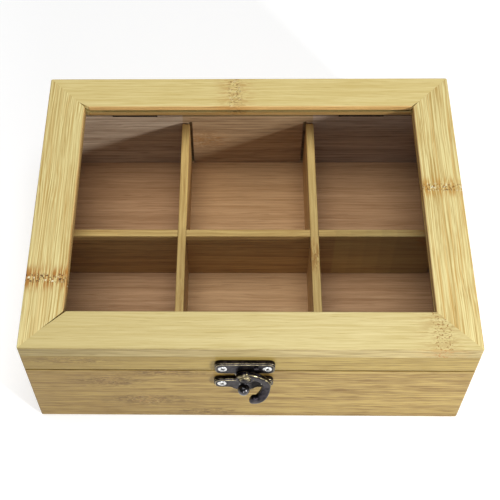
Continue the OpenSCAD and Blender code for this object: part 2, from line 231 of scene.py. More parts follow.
def connect(shader, **wires):
    """Links wires to the sockets of a shader."""
    for socket, wire in wires.items():
        wire.tree.links.new(wire.socket, shader.inputs[socket.replace("_", " ")])


# %% [markdown]
# The table glows a little, as a light table does, which keeps its shadows faint.

# %% Lay the floor
floor_half = 4.0
floor_mesh = bpy.data.meshes.new("floor")
floor_mesh.from_pydata([(x, y, 0.0) for x, y in ((-floor_half, -floor_half), (floor_half, -floor_half),
                                                 (floor_half, floor_half), (-floor_half, floor_half))],
                       [], [(0, 1, 2, 3)])
floor = bpy.data.objects.new("floor", floor_mesh)
bpy.context.scene.collection.objects.link(floor)
floor_finish, floor_shader, _ = new_finish(
    "pale_table", Base_Color=(0.8, 0.8, 0.8, 1.0), Roughness=0.9, Specular_IOR_Level=0.0,
    Emission_Color=(1.0, 1.0, 1.0, 1.0), Emission_Strength=0.39)
floor_mesh.materials.append(floor_finish)
print(f"floor {2 * floor_half:.0f} m wide")

# %% [markdown]
# ## Bamboo
# A bamboo board is glued up from split strips. Along the strip run fine straight fibres; every
# 20 to 30 cm the stalk had a joint, which leaves a short band of dark pinholes, pale specks and
# flame-like streaks. A picture of a board would repeat and blur, so the finish is built from
# noise. First the grain: straight, but for a slow sway and for a curl where it grew round a joint.

# %% Bend the grain
Joint = namedtuple("Joint", "place height half tall pinholes specks flames")


def bent_grain(here, run, height, joints, curl):
    """The place in mm, pushed across the grain by slow noise, and by more of it near each joint."""
    shift = (here.scaled(0.025, 0.12, 0.12).cloud(1.0) - 0.5) * 1.8
    if curl:
        window = 0.0
        for joint in joints:
            window = window + run.bell(joint.place, joint.half * 1.8) * height.bell(joint.height, joint.tall)
        shift = shift + (here.scaled(0.2, 0.42, 0.42).cloud(2.0) - 0.5) * window * curl
    return here.moved(here.vector(0.0, shift, shift))


# %% [markdown]
# Fibres are noise that is stretched about fifty times along the grain, in four widths. On the
# side rails the strips stand on edge, and their fibres lie so evenly that they read as ribs.

# %% Lay the fibres
def fibres(grain, bands, lines, broad, dashes, length, fine):
    """Tone, relief and hairs. All are sums of noises stretched along the grain.

    tone = 0.56 + 1.5 broad * (5 mm bands) + 1.9 bands * (1 mm bands) + 1.7 lines * (0.5 mm lines)
    + 0.5 * hairs - dashes * (short dark dashes)
    """
    wide = grain.scaled(0.004, 0.2, 0.2).cloud(2.0) - 0.5
    band = grain.scaled(0.013 / length, 0.85, 0.85).cloud(2.0) - 0.5
    line = grain.scaled(0.045 / length, 2.0 * fine, 2.0 * fine).cloud(2.0, 0.6) - 0.5
    hair = grain.scaled(0.12, 5.5, 5.5).cloud(1.0) - 0.5
    dash = grain.scaled(0.07, 1.5, 1.5).cloud(1.0).smooth(0.62, 0.74)
    tone = wide * (1.5 * broad) + band * (1.9 * bands) + line * (1.7 * lines) + hair * 0.5 + 0.56
    return tone - dash * dashes, band * 0.5 + line * 0.5 + hair * 0.5 - dash * 0.5, hair


def ribs_of(grain, strength, width):
    """sin(2 pi * place across the grain / width + drift), faded out in patches."""
    across = grain.node("ShaderNodeSeparateXYZ", {}, {0: grain}, out=1)
    drift = grain.scaled(0.008, 0.2, 0.2).cloud(1.0)
    wave = across * (2 * np.pi / width) + drift * 14.0
    patches = grain.scaled(0.03, 0.5, 0.5).cloud(1.0).smooth(0.35, 0.6)
    return wave.math("SINE", wave) * patches * strength


# %% [markdown]
# A joint is painted over the fibres. Its dots are the middles of scattered cells, and each cell's
# random colour says whether it holds a pinhole or a speck.

# %% Paint a joint
PINHOLE, SPECK = ink(142, 104, 54), ink(236, 228, 192)
FLAME, AMBER = ink(174, 120, 52), ink(206, 160, 84)


def mark_joint(colour, here, grain, run, height, joint, flame, pinhole, length):
    """The colour with a joint on it, and where its pinholes are.

    Dots and blots show where bell(along) * bell(up) is high, and flames, which are stretched
    noise, in a window 2.6 times as long.
    """
    level = height.bell(joint.height, joint.tall)
    near = run.bell(joint.place, joint.half) * level
    wider = run.bell(joint.place, joint.half * 2.6) * level
    lick = grain.scaled(0.12 / length, 1.3, 1.3).cloud(2.0).smooth(0.45, 0.56)
    lick = lick * wider.smooth(0.1, 0.9) * joint.flames
    spot = grain.scaled(0.42, 0.62, 0.62).moved(here.scaled(0.9, 0.9, 0.9).cloud(1.0))
    cells = {"Vector": spot, "Scale": 1.0, "Randomness": 0.9}
    away = spot.node("ShaderNodeTexVoronoi", {}, cells)
    chance = spot.node("ShaderNodeTexVoronoi", {}, cells, out=1)
    pale = chance.node("ShaderNodeSeparateColor", {}, {0: chance}).smooth(0.5, 0.55)
    window = near.smooth(0.25, 0.7)
    dot = (1.0 - away.smooth(0.22, 0.4)) * window * joint.specks
    blot = here.scaled(0.95, 1.25, 1.25).cloud(2.0).smooth(0.54, 0.62) * window
    hole = dot.math("MAXIMUM", dot * (1.0 - pale), blot * 0.9) * joint.pinholes
    colour = hole.mix(lick.mix(colour, flame), pinhole)
    return (dot * pale).mix(colour, SPECK), hole


# %% [markdown]
# The whole finish takes the tone between two colours. One side of a board can have other colours than the
# rest: the inside of the box is browner than its outside, and was never varnished. The same means also
# paints light and shade on some boards: paler tops, darker ends and strips.

# %% Mix the bamboo finish
def bamboo(name, along, pale, deep, seed, bands=1.0, lines=1.0, broad=1.0, dashes=0.5, amber=None,
           ribs=None, joints=(), curl=0.0, length=1.0, fine=1.0, painted_left_shade=0.0, flame=FLAME,
           pinhole=PINHOLE, lining_and_painted_light=()):
    """Bamboo with its grain along X or Y, between the colours deep and pale.

    bands, lines, broad and dashes are the fibres' strengths, length and fine stretch and thin them, amber is
    (strength, lines per mm) of orange lines, and ribs (strength, width in mm) of even ones. curl bends the
    grain at the joints. painted_left_shade is painted shade: it darkens the board towards its left end,
    which the lamps on the right light less.
    Each lining_and_painted_light entry (axis, at, way, pale, deep) gives the board these colours past that
    plane. Some entries are an inner face's own colour, others painted light and shade.
    """
    finish, shader, here = new_finish(
        name, Coat_Weight=0.03, Coat_Roughness=0.3, Specular_IOR_Level=0.22)
    real = [here.node("ShaderNodeSeparateXYZ", {}, {0: here}, out=k) for k in range(3)]
    run, height = real[0 if along == "X" else 1], real[2]
    if along == "Y":
        here = here.vector(real[1], real[0], real[2])
    here = here.moved((137.0 * seed, 71.0 * seed, 53.0 * seed))
    grain = bent_grain(here, run, height, joints, curl)
    tone, relief, hair = fibres(grain, bands, lines, broad, dashes, length, fine)
    if ribs:
        tone = tone + ribs_of(grain, *ribs)
    tone = tone.node("ShaderNodeClamp", {}, {0: tone})
    # Painted shade: the board darkens towards its left end, which the light from the right reaches less.
    if painted_left_shade:
        tone = tone * (1.0 - (1.0 - run.smooth(-105.0, 70.0)) * painted_left_shade)
    colour = tone.mix(deep, pale)
    if amber:
        strength, across = amber
        cast = grain.scaled(0.013, across, across).cloud(1.0).smooth(0.5, 0.66)
        colour = (cast * strength).mix(colour, AMBER)
    # Colours past a plane: an inner face's own colour, and on some boards painted light and shade.
    for axis, at, way, past_pale, past_deep in lining_and_painted_light:
        past_plane = ((real[axis] - at) * way).smooth(-0.8, 0.1)
        colour = past_plane.mix(colour, tone.mix(past_deep, past_pale))
    for joint in joints:
        colour, hole = mark_joint(colour, here, grain, run, height, joint, flame, pinhole, length)
        relief = relief - hole * 2.0
    bump = relief.node("ShaderNodeBump", {}, {
        "Height": relief, "Strength": 0.35, "Distance": 0.00025})
    connect(shader, Base_Color=colour, Roughness=0.46 - hair * 0.25, Normal=bump)
    return finish


# %% [markdown]
# ## Boards
# Walls, rails and skirts are the same thing: a section carried along one side of the box and cut
# off at 45 degrees at both ends. Two softenings matter to the eye. The long edges are rounded in
# the section, and the upright corner of the box is rounded by bending the ends of the outer
# layers round a circle.

# %% Work out a section with rounded corners
def rounded(corners, steps=5, hold=0.12):
    """Section through corners (depth, height, radius), as an array of points.

    At each corner the points lie at even angles on the circle that touches both edges, and one
    more lies a little way along each edge, which keeps the shading of the flats flat.
    """
    points = []
    for k, (depth, height, radius) in enumerate(corners):
        tip = np.array([depth, height], float)
        if radius == 0:
            points.append(tip[None])
            continue
        ways = [np.array(corners[j % len(corners)][:2], float) - tip for j in (k - 1, k + 1)]
        a, b = (way / np.linalg.norm(way) for way in ways)
        middle = tip + (a + b) * radius
        turn = np.linspace(0, np.pi / 2, steps + 1)[:, None]
        points += [(tip + a * (radius + hold))[None],
                   middle - b * radius * np.cos(turn) - a * radius * np.sin(turn),
                   (tip + b * (radius + hold))[None]]
    return np.concatenate(points)


def shrunk(section, by):
    """The section with each point moved inwards, along the mean of its two edges' normals."""
    if by == 0:
        return section
    edge = np.roll(section, -1, 0) - section
    edge /= np.linalg.norm(edge, axis=1)[:, None]
    normal = np.stack([-edge[:, 1], edge[:, 0]], 1)
    area = np.sum(section[:, 0] * np.roll(section[:, 1], -1) - section[:, 1] * np.roll(section[:, 0], -1))
    both = normal + np.roll(normal, 1, 0)
    return section + both * (np.sign(area) * by / np.maximum(np.sum(both * both, 1) / 2, 0.3)[:, None])


# %% [markdown]
# A mesh made of rings is closed like a tube: neighbouring rings are joined by quads, and the first and last
# ring by one face each. On a board these two are the sawn ends, which take a second finish: the painted
# shade of the mitres. Merging doubles closes poles, and the normals are turned outwards after that. Slots
# and holes are cut afterwards with other such pieces, as with a chisel or a drill.

# %% Put rings into a mesh
def make_piece(name, rings, body, stands_for=(), sharp=32.0):
    """A piece from rings, an array of rings x points x 3 in millimetres in the box's frame.

    Quad (i, j) joins points j and j + 1 of rings i and i + 1.
    """
    count, around = rings.shape[:2]
    i, j = np.meshgrid(np.arange(count - 1), np.arange(around), indexing="ij")
    k = (j + 1) % around
    quads = np.stack([i * around + j, i * around + k, (i + 1) * around + k, (i + 1) * around + j], -1)
    ends = [list(range(around)), list(range((count - 1) * around, count * around))]
    mesh = bpy.data.meshes.new(name)
    mesh.from_pydata((rings.reshape(-1, 3) * MM).tolist(), [], quads.reshape(-1, 4).tolist() + ends)
    mesh.polygons.foreach_set("material_index", np.r_[np.zeros(len(mesh.polygons) - 2, int), 1, 1])
    clean_mesh(mesh, sharp)
    piece = bpy.data.objects.new(name, mesh)
    bpy.context.scene.collection.objects.link(piece)
    if body:
        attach(piece, body)
    if stands_for:
        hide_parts(*stands_for)
    return piece


def clean_mesh(mesh, sharp):
    """Merges doubles, turns the faces outwards and marks edges sharper than an angle."""
    work = bmesh.new()
    work.from_mesh(mesh)
    bmesh.ops.remove_doubles(work, verts=work.verts, dist=0.002 * MM)
    bmesh.ops.dissolve_degenerate(work, edges=work.edges, dist=0.001 * MM)
    bmesh.ops.recalc_face_normals(work, faces=work.faces)
    work.to_mesh(mesh)
    work.free()
    mesh.shade_smooth()
    mesh.set_sharp_from_angle(angle=np.radians(sharp))


def carve(piece, tool, how="DIFFERENCE", sharp=32.0):
    """Cuts a tool piece out of a piece, or joins it on, and removes the tool."""
    cut = piece.modifiers.new("carve", "BOOLEAN")
    cut.operation, cut.solver, cut.object = how, "EXACT", tool
    view = bpy.context.evaluated_depsgraph_get()
    mesh = bpy.data.meshes.new_from_object(piece.evaluated_get(view))
    piece.modifiers.clear()
    piece.data = mesh
    clean_mesh(mesh, sharp)
    bpy.data.objects.remove(tool)
    return piece


def block(low, high):
    """A plain box between two corners in millimetres, used only as a cutting tool."""
    x, y = np.array([[low[0], low[1]], [high[0], low[1]], [high[0], high[1]], [low[0], high[1]]]).T
    levels = [np.stack([x, y, np.full(4, z)], 1) for z in (low[2], high[2])]
    return make_piece("tool", np.stack(levels), None)


# %% [markdown]
# All boards of a frame share one way to be placed: a run along the side, a depth inwards and a
# height. The mitre is then the plane where the run is the half length less the depth. The real
# lid's mitres have opened a little at the window, and the dark wedges are easy to see.

# %% Carry a section along one side of the box
corner_r, ease = 1.0, 0.004


def to_side(side, run, depth, height):
    """Places (run along the side, depth inwards, height) on one side of the box, seen from outside."""
    if side in (FRONT, BACK):
        out = -1 if side == FRONT else 1
        return np.stack([-out * run, box_y + out * (box_d / 2 - depth), height], -1)
    out = 1 if side == RIGHT else -1
    return np.stack([out * (box_w / 2 - depth), box_y + out * run, height], -1)


def mitre_end(section, half, gap):
    """Rows of one mitred end, as (run, depth, height).

    A row lies `back` mm before the mitre plane run = half - depth. Where a point is nearer the
    outer face than the corner radius, the rest of its way to the mitre is bent round a circle of
    radius corner_r - depth. The last row is the shrunk section, in the mitre plane.
    """
    back = np.r_[corner_r * 1.3, corner_r * (1 - np.arange(8) / 8), ease][:, None]
    rows = []
    for line, behind in ((section, back), (shrunk(section, ease), np.zeros((1, 1)))):
        depth, height = line[None, :, 0], line[None, :, 1] + 0 * behind
        radius = np.maximum(corner_r - depth, 1e-9)
        turn = np.pi / 4 * np.clip((corner_r - depth - behind) / radius, 0, 1)
        bent = (depth < corner_r) & (behind < corner_r - depth)
        run = np.where(bent, half - corner_r + radius * np.sin(turn), half - depth - behind)
        deep = np.where(bent, corner_r - radius * np.cos(turn), depth + 0 * behind)
        rows.append(np.stack([run - gap(deep), deep, height], -1))
    return np.concatenate(rows)


def no_gap(depth):
    return 0 * depth


def open_mitre(width, reach):
    """A mitre that has opened at the window: its gap grows from 0 to width over the last reach mm."""
    def gap(depth):
        return width * np.clip((depth - rail_w + reach) / reach, 0, 1)
    return gap


def mitred_board(name, side, section, body, gaps=(no_gap, no_gap)):
    """A board on one side of the box, mitred at both ends; gaps are at its low and its high end."""
    length = box_w if side in (FRONT, BACK) else box_d
    flat = length / 2 - section[:, 0].max() - 4
    middle = np.stack([np.stack([np.full(len(section), x), section[:, 0], section[:, 1]], 1)
                       for x in np.linspace(-flat, flat, 12)])
    low, high = (mitre_end(section, length / 2, gap) for gap in gaps)
    low[..., 0] *= -1
    rows = np.concatenate([low[::-1], middle, high])
    return make_piece(name, to_side(side, rows[..., 0], rows[..., 1], rows[..., 2]), body, (name,))


# %% [markdown]
# There are three kinds of section: a wall with the groove that holds the base panel, a lid rail
# with the groove that holds the pane, and a plain skirt board. The lid doesn't close quite tight:
# a slot of a millimetre is left between skirt and wall, and reads as a dark line. The rails have
# a few more points near the window, so that an open mitre stays narrow further out.

# %% Cut the twelve boards
groove_in, parting = 4.0, 0.5
wall_section = rounded([
    (0, 0, 1.2), (wall_t, 0, 0.4), (wall_t, base_low[2], 0), (wall_t - groove_in, base_low[2], 0),
    (wall_t - groove_in, base_high[2] + 0.1, 0), (wall_t, base_high[2] + 0.1, 0),
    (wall_t, wall_h - parting, 0.3), (0, wall_h - parting, 0.35)])
pane_in = 5.0
near_window = (rail_w * 0.5, rail_w * 0.84)
rail_section = rounded([
    (0, rail_z, 0.12), *((depth, rail_z, 0) for depth in near_window),
    (rail_w, rail_z, 1.8), (rail_w, pane_low[2], 0), (rail_w - pane_in, pane_low[2], 0),
    (rail_w - pane_in, pane_high[2] + 0.1, 0), (rail_w, pane_high[2] + 0.1, 0),
    (rail_w, lid_z, 0.5), *((depth, lid_z, 0) for depth in near_window[::-1]), (0, lid_z, 0.6)])
skirt_section = rounded([
    (0, wall_h + parting, 0.35), (wall_t, wall_h + parting, 0.3),
    (wall_t, rail_z, 0.12), (0, rail_z, 0.12)])

rail_gaps = {"front": (open_mitre(1.7, 10), no_gap), "right": (no_gap, open_mitre(0.5, 2.5)),
             "back": (open_mitre(0.8, 3.5), open_mitre(2.4, 3.2)), "left": (no_gap, no_gap)}
boards = {}
for where, side in SIDES.items():
    for kind, section, body, slot, gaps in (
            ("wall", wall_section, "case", "bamboo_wall", (no_gap, no_gap)),
            ("skirt", skirt_section, "lid", "bamboo_wall", (no_gap, no_gap)),
            ("rail", rail_section, "lid", "bamboo_rail", rail_gaps[where])):
        name = f"{where}_{kind}"
        boards[name] = mitred_board(name, side, section, body, gaps)
print("boards:", sum(len(piece.data.polygons) for piece in boards.values()), "faces")

# %% [markdown]
# The hinge leaves are let into the back boards, so a flat recess is cut for each. The long
# dividers end in slots of the back wall. The slots are cut a little too wide, and the play shows
# as a black line on the side towards the middle.

# %% Let in the hinge leaves and the dividers
slot_play, slot_in, leaf_t, play, past = 1.3, 4.0, 0.7, 0.1, 1.0
for hand in ("left", "right"):
    for board, leaf, below, above in (("back_wall", "case", leaf_t, past),
                                      ("back_skirt", "lid", past, leaf_t)):
        low, high = limits(f"{hand}_hinge_{leaf}_leaf")
        carve(boards[board], block((low[0] - play, back_y - wall_t - past, wall_h - below),
                                   (high[0] + play, back_y + past, wall_h + above)))
    low, high = limits(f"{hand}_divider")
    start, end = ((high[0] - 0.5, high[0] + slot_play) if hand == "left"
                  else (low[0] - slot_play, low[0] + 0.5))
    carve(boards["back_wall"], block((start, back_y - wall_t - past, base_high[2] + past),
                                     (end, back_y - wall_t + slot_in, high[2] + 0.3)))
print("back wall:", len(boards["back_wall"].data.polygons), "faces")

# %% [markdown]
# ## Dividers
# The three dividers are thin boards with softly broken edges that lap over each other: the long
# ones have a slot from below, the crossing one two slots from above.

# %% Cut and slot the dividers
def plain_board(name, low, high, along, body, slot):
    """A board with round ends between two corners in millimetres, its edges rounded by 0.45 mm.

    The section lies across the grain. At angle a of an end's rounding of radius r, the row lies
    r * (1 - cos a) in from the end, and the section is shrunk by r * (1 - sin a).
    """
    across, edge_r, end_r = 1 - along, 0.45, 1.1
    section = rounded([(low[across], low[2], edge_r), (high[across], low[2], edge_r),
                       (high[across], high[2], edge_r), (low[across], high[2], edge_r)], 4)
    angle = np.radians([0, 18, 36, 54, 72, 90])
    near = end_r * (1 - np.cos(angle))
    inset = end_r * (1 - np.sin(angle))
    middle = np.linspace(low[along] + 5, high[along] - 5, 8)
    runs = np.r_[low[along] + near, middle, high[along] - near[::-1]]
    lines = [shrunk(section, by) for by in np.r_[inset, 0 * middle, inset[::-1]]]
    rows = np.empty((len(runs), len(section), 3))
    rows[..., along] = runs[:, None]
    rows[..., across] = np.stack(lines)[..., 0]
    rows[..., 2] = np.stack(lines)[..., 1]
    return make_piece(name, rows, body, (name,))


ALONG_X, ALONG_Y = 0, 1
dividers = {
    name: plain_board(name, *limits(name), along, "case", "bamboo_inner")
    for name, along in (("left_divider", ALONG_Y), ("right_divider", ALONG_Y),
                        ("cross_divider", ALONG_X))}
cross_low, cross_high = limits("cross_divider")
half_lap = (cross_low[2] + cross_high[2]) / 2
for name in ("left_divider", "right_divider"):
    low, high = limits(name)
    carve(dividers[name], block((low[0] - past, cross_low[1] - play, low[2] - past),
                                (high[0] + past, cross_high[1] + play, half_lap + play)))
    carve(dividers["cross_divider"], block((low[0] - play, cross_low[1] - past, half_lap),
                                           (high[0] + play, cross_high[1] + past, high[2] + past)))
print("dividers:", sum(len(piece.data.polygons) for piece in dividers.values()), "faces")

# %% [markdown]
# ## Latch parts
# The latch is cast metal with an antique finish. Its parts are drawn flat, as seen from the front:
# across, up and out of the box, and then stood on the front of the case.

# %% Help to shape metal
rivet_low, rivet_high = limits("hook_rivet")
rivet_x, rivet_z = (rivet_low[0] + rivet_high[0]) / 2, (rivet_low[2] + rivet_high[2]) / 2
peg_low, peg_high = limits("catch_peg")
peg_x, peg_z = (peg_low[0] + peg_high[0]) / 2, (peg_low[2] + peg_high[2]) / 2


def stood(across, up, out):
    """A point given across, up and out of the box's front, in the box's frame."""
    across, up, out = np.broadcast_arrays(across, up, out)
    return np.stack([across, front_y - out, up], -1)


def turned(profile, across, up, sides=64):
    """Rings of a body of revolution: profile is radius and distance out, point by point."""
    radius, out = np.array(profile, float).T[:, :, None]
    angle = np.arange(sides) * 2 * np.pi / sides
    return stood(across + radius * np.cos(angle), up + radius * np.sin(angle), out)


def arc(middle, radius, start, end, steps=8):
    """Points of a circle in a profile, from one angle to another in degrees."""
    angle = np.radians(np.linspace(start, end, steps + 1))
    return list(zip(middle[0] + radius * np.cos(angle), middle[1] + radius * np.sin(angle)))


# %% [markdown]
# The two plates have a rounded outline with a swell. The outline is found by walking outwards from
# a point inside until a distance function reaches zero; a blend of two distance functions gives
# the soft hollow where the swell leaves the plate, and walking to another level gives the inset
# lines of the bevel.

# %% Measure distances to an outline
def rounded_box(x, y, half_w, half_h, radius):
    """Distance from points to the outline of a rounded rectangle, negative inside."""
    ax, ay = np.abs(x) - half_w + radius, np.abs(y) - half_h + radius
    return np.hypot(np.maximum(ax, 0), np.maximum(ay, 0)) + np.minimum(np.maximum(ax, ay), 0) - radius


def soft_union(a, b, soft):
    """The nearer of two distances, blended over the width soft."""
    share = np.clip(0.5 + 0.5 * (b - a) / soft, 0, 1)
    return b + (a - b) * share - soft * share * (1 - share)


# %% Help to cast a plate
plate_t, head_r, walk_steps = 2.5, 2.3, 80
rim_profile = [(0.5, 0), (0.12, 0.02), (0, 0.2), (0, 0.9), (0, 1.55), (0, 1.78), (0.03, 1.88),
               (0.1, 1.96), (0.3, 2.18), (0.5, 2.36), (0.6, 2.44), (0.72, 2.48), (0.9, 2.5),
               (1.15, 2.49), (1.35, 2.42), (1.55, 2.4), (2.2, 2.4)]
screw_sink = [(0, 1.0), (1.5, 1.0), (2.32, 2.0), (2.5, 2.7), (2.5, 3.5), (0, 3.5)]


def cast_plate(name, distance, middle, back, body, holes):
    """A plate 2.5 mm thick with a bevelled rim: rings at (inset, out), closed towards the middle.

    distance(x, z) is the outline's distance function, middle a point inside, back(z) how far the
    back stands off the wood, and holes the middles of the countersunk screws.
    """
    angle = np.linspace(0, 2 * np.pi, 288, endpoint=False)
    way_x, way_z = 14 * np.cos(angle), 6 * np.sin(angle)
    size = np.hypot(way_x, way_z)
    way_x, way_z = way_x / size, way_z / size
    rings = []
    for inset, out in rim_profile:
        far = np.zeros_like(size)
        for _ in range(walk_steps):
            far = far - (distance(middle[0] + far * way_x, middle[1] + far * way_z) + inset)
        x, z = middle[0] + far * way_x, middle[1] + far * way_z
        rings.append(stood(x, z, np.maximum(out, back(z))))
    last = rings[-1]
    centre = stood(*middle, rim_profile[-1][1])
    under = stood(*middle, float(back(np.array(middle[1]))))
    tail = [centre + (last - centre) * share for share in (0.75, 0.5, 0.25, 0.0)]
    rings = np.stack([np.broadcast_to(under, last.shape)] + rings + tail)
    piece = make_piece(name, rings, body, (name,), 40)
    for x, z in holes:
        carve(piece, make_piece("tool", turned(screw_sink, x, z, 48), None), sharp=40)
    return piece


# %% [markdown]
# The hook plate sits on the lid. A round lug reaches down behind the hook's eye and stands off
# the case by a hair, and a small pip at the upper right stops the arm.

# %% Cast the hook plate
screw_places = {}
for node in ("hook_plate_screws", "catch_plate_screws"):
    low, high = limits(node)
    screw_places[node] = [(x, (low[2] + high[2]) / 2) for x in (low[0] + head_r, high[0] - head_r)]

plate_corner, blend, lug_r, above_seam = 3.2, 1.0, 5.1, 1.3
hook_low, hook_high = limits("hook_plate")
hook_half = (hook_high[2] - (wall_h + above_seam)) / 2
hook_mid = hook_high[2] - hook_half


def hook_plate_distance(x, z):
    half_w = (hook_high[0] - hook_low[0]) / 2
    plate = rounded_box(x - rivet_x, z - hook_mid, half_w, hook_half, plate_corner)
    return soft_union(plate, np.hypot(x - rivet_x, z - rivet_z) - lug_r, blend)


hook_plate = cast_plate("hook_plate", hook_plate_distance, (rivet_x, rivet_z + 3.6),
                        lambda z: np.where(z < wall_h, 0.3, 0.02), "lid", screw_places["hook_plate_screws"])
pip_angle, pip_away = np.radians(53), 8.9
pip = turned([(0, 1.5), (1.2, 1.5), (1.2, 2.9)] + arc((0.6, 2.9), 0.6, 0, 90, 6) + [(0, 3.5)],
             rivet_x + pip_away * np.cos(pip_angle), rivet_z + pip_away * np.sin(pip_angle), 40)
carve(hook_plate, make_piece("tool", pip, None), "UNION", 40)
print("hook plate:", len(hook_plate.data.polygons), "faces")

# %% [markdown]
# The catch plate sits on the case. Its swell hangs below, under the ball.

# %% Cast the catch plate
catch_low, catch_high = limits("catch_plate")
catch_half, swell_r = 4.2, 7.6
catch_mid = catch_high[2] - catch_half


def catch_plate_distance(x, z):
    half_w = (catch_high[0] - catch_low[0]) / 2
    plate = rounded_box(x - peg_x, z - catch_mid, half_w, catch_half, plate_corner)
    swell = np.maximum(np.hypot(x - peg_x, z - peg_z) - swell_r, z - catch_mid)
    return soft_union(plate, swell, blend)


catch_plate = cast_plate("catch_plate", catch_plate_distance, (peg_x, catch_mid - 1.5),
                         lambda z: 0 * z + 0.02, "case", screw_places["catch_plate_screws"])
print("catch plate:", len(catch_plate.data.polygons), "faces")

# %% [markdown]
# ## The hook
# The hook was cast in one: a dished eye, an arm that leaves its top in a bow, and a tail that
# curls forwards. Arm and tail are one squarish section carried along two cubic curves; eye and
# arm are then joined, and the dish and the hole are cut.

# %% Draw the hook's curves
hook_reach, hook_drop, eye_r, eye_t = 10.5, 19.2, 4.3, 2.7
arm_w, tail_w, tail_t, tail_forward, tail_cap = 4.0, 5.7, 3.4, 2.5, 1.8
eye_mid = plate_t + 0.3 + eye_t / 2
elbow = (hook_reach, -0.37 * hook_drop)
arm_curve = np.array([(0.2 * eye_r, 0.5 * eye_r), (0.5 * hook_reach, 0.49 * eye_r),
                      (0.965 * hook_reach, -0.65 * eye_r), elbow])
tail_curve = np.array([elbow, (hook_reach, -0.64 * hook_drop),
                       (0.84 * hook_reach, -1.05 * hook_drop), (0.4 * hook_reach, -0.98 * hook_drop)])


def bow(points, t):
    """Place and direction at t on a cubic curve that is pulled by four points.

    Their weights are (1 - t)^3, 3 t (1 - t)^2, 3 t^2 (1 - t) and t^3.
    """
    t = t[:, None]
    place = ((1 - t) ** 3 * points[0] + 3 * t * (1 - t) ** 2 * points[1]
             + 3 * t * t * (1 - t) * points[2] + t ** 3 * points[3])
    way = (3 * (1 - t) ** 2 * (points[1] - points[0]) + 6 * t * (1 - t) * (points[2] - points[1])
           + 3 * t * t * (points[3] - points[2]))
    return place, way / np.linalg.norm(way, axis=1)[:, None]


def eased(start, end, t):
    """Moves from start to end along an S-curve."""
    return start + (end - start) * t * t * (3 - 2 * t)


# %% Carry the section along arm and tail
def hook_sweep(steps=44, sides=40, squareness=0.5):
    """Rings of arm and tail. A ring's point at angle a is (|cos a|^p width, |sin a|^p thickness)."""
    t = np.linspace(0, 1, steps)
    arm, arm_way = bow(arm_curve, t)
    tail, tail_way = bow(tail_curve, t[1:])
    cap = np.radians([14, 28, 42, 54, 65, 75, 84])
    end, end_way = tail[-1], tail_way[-1]
    place = np.concatenate([arm, tail, end + end_way * (tail_cap * np.sin(cap))[:, None]])
    way = np.concatenate([arm_way, tail_way, np.repeat(end_way[None], len(cap), 0)])
    size = np.r_[np.ones(2 * steps - 1), np.cos(cap) ** 0.7]
    width = np.r_[eased(eye_r, arm_w, t), eased(arm_w, tail_w, t[1:]), np.full(len(cap), tail_w)] * size
    thick = np.r_[np.full(steps, eye_t - 0.1), eye_t - 0.1 + (tail_t - eye_t + 0.1) * t[1:],
                  np.full(len(cap), tail_t)] * size
    forward = np.r_[0 * t, eased(0, tail_forward, t[1:]), np.full(len(cap), tail_forward)]
    angle = (np.arange(sides) + 0.5) * 2 * np.pi / sides
    side = np.sign(np.cos(angle)) * np.abs(np.cos(angle)) ** squareness / 2
    front = np.sign(np.sin(angle)) * np.abs(np.sin(angle)) ** squareness / 2
    normal = np.stack([-way[:, 1], way[:, 0]], 1)
    return stood(rivet_x + place[:, :1] + normal[:, :1] * side * width[:, None],
                 rivet_z + place[:, 1:] + normal[:, 1:] * side * width[:, None],
                 eye_mid + forward[:, None] + front * thick[:, None])


# %% Join the eye and the arm
eye_back, eye_front = eye_mid - eye_t / 2, eye_mid + eye_t / 2
eye_profile = ([(0, eye_back), (eye_r - 0.5, eye_back)]
               + arc((eye_r - 0.5, eye_back + 0.5), 0.5, -90, 0, 5)
               + arc((eye_r - 0.7, eye_front - 0.7), 0.7, 0, 90, 7) + [(3.0, eye_front), (0, eye_front)])
hook = make_piece("hook", turned(eye_profile, rivet_x, rivet_z, 72), "hook", ("hook",), 50)
carve(hook, make_piece("tool", hook_sweep(), None), "UNION", 50)
dish = turned([(0, eye_front - 0.75), (2.75, eye_front - 0.75), (3.1, eye_front - 0.5),
               (3.2, eye_front + 1), (0, eye_front + 1)], rivet_x, rivet_z, 72)
carve(hook, make_piece("tool", dish, None), sharp=50)
hole = turned([(0, eye_back - 1), (1.55, eye_back - 1), (1.55, eye_front + 1), (0, eye_front + 1)],
              rivet_x, rivet_z, 72)
carve(hook, make_piece("tool", hole, None), sharp=50)
print("hook:", len(hook.data.polygons), "faces")

# %% [markdown]
# ## Rivet, peg and screws
# These are turned parts, so each is a profile spun round its own axis.

# %% Turn the rivet and the peg
rivet_top = limits("hook_rivet")[0][1]
rivet_out = front_y - rivet_top
head_base, rivet_r = eye_front - 0.7, 2.66
dome_base = head_base + 0.5
rivet_profile = ([(0, 0.3), (1.5, 0.3), (1.5, head_base), (2.55, head_base),
                  (rivet_r, head_base + 0.12), (rivet_r, dome_base)]
                 + [(rivet_r * np.cos(a), dome_base + (rivet_out - dome_base) * np.sin(a))
                    for a in np.radians([12, 25, 38, 52, 66, 78, 90])])
hook_rivet = make_piece("hook_rivet", turned(rivet_profile, rivet_x, rivet_z), "lid",
                        ("hook_rivet",), 50)

ball_r, ball_out, neck_r = 2.95, plate_t + 3.0, 1.5
peg_profile = ([(0, 0.1), (neck_r, 0.1), (neck_r, plate_t - 0.2), (2.2, plate_t - 0.15),
                (2.2, plate_t + 0.12), (1.85, plate_t + 0.3), (1.6, plate_t + 0.45)]
               + arc((0, ball_out), ball_r, -58, 90, 26))
catch_peg = make_piece("catch_peg", turned(peg_profile, peg_x, peg_z), "case", ("catch_peg",),
                       50)
print(f"rivet {2 * rivet_r:.1f} mm wide, ball {2 * ball_r:.1f} mm")


# %% [markdown]
# The cross in a screw's head is pressed into the dome: the depth follows the distance to a cross,
# so its walls slope as a real driver's recess does. Both screws of a plate are one node.

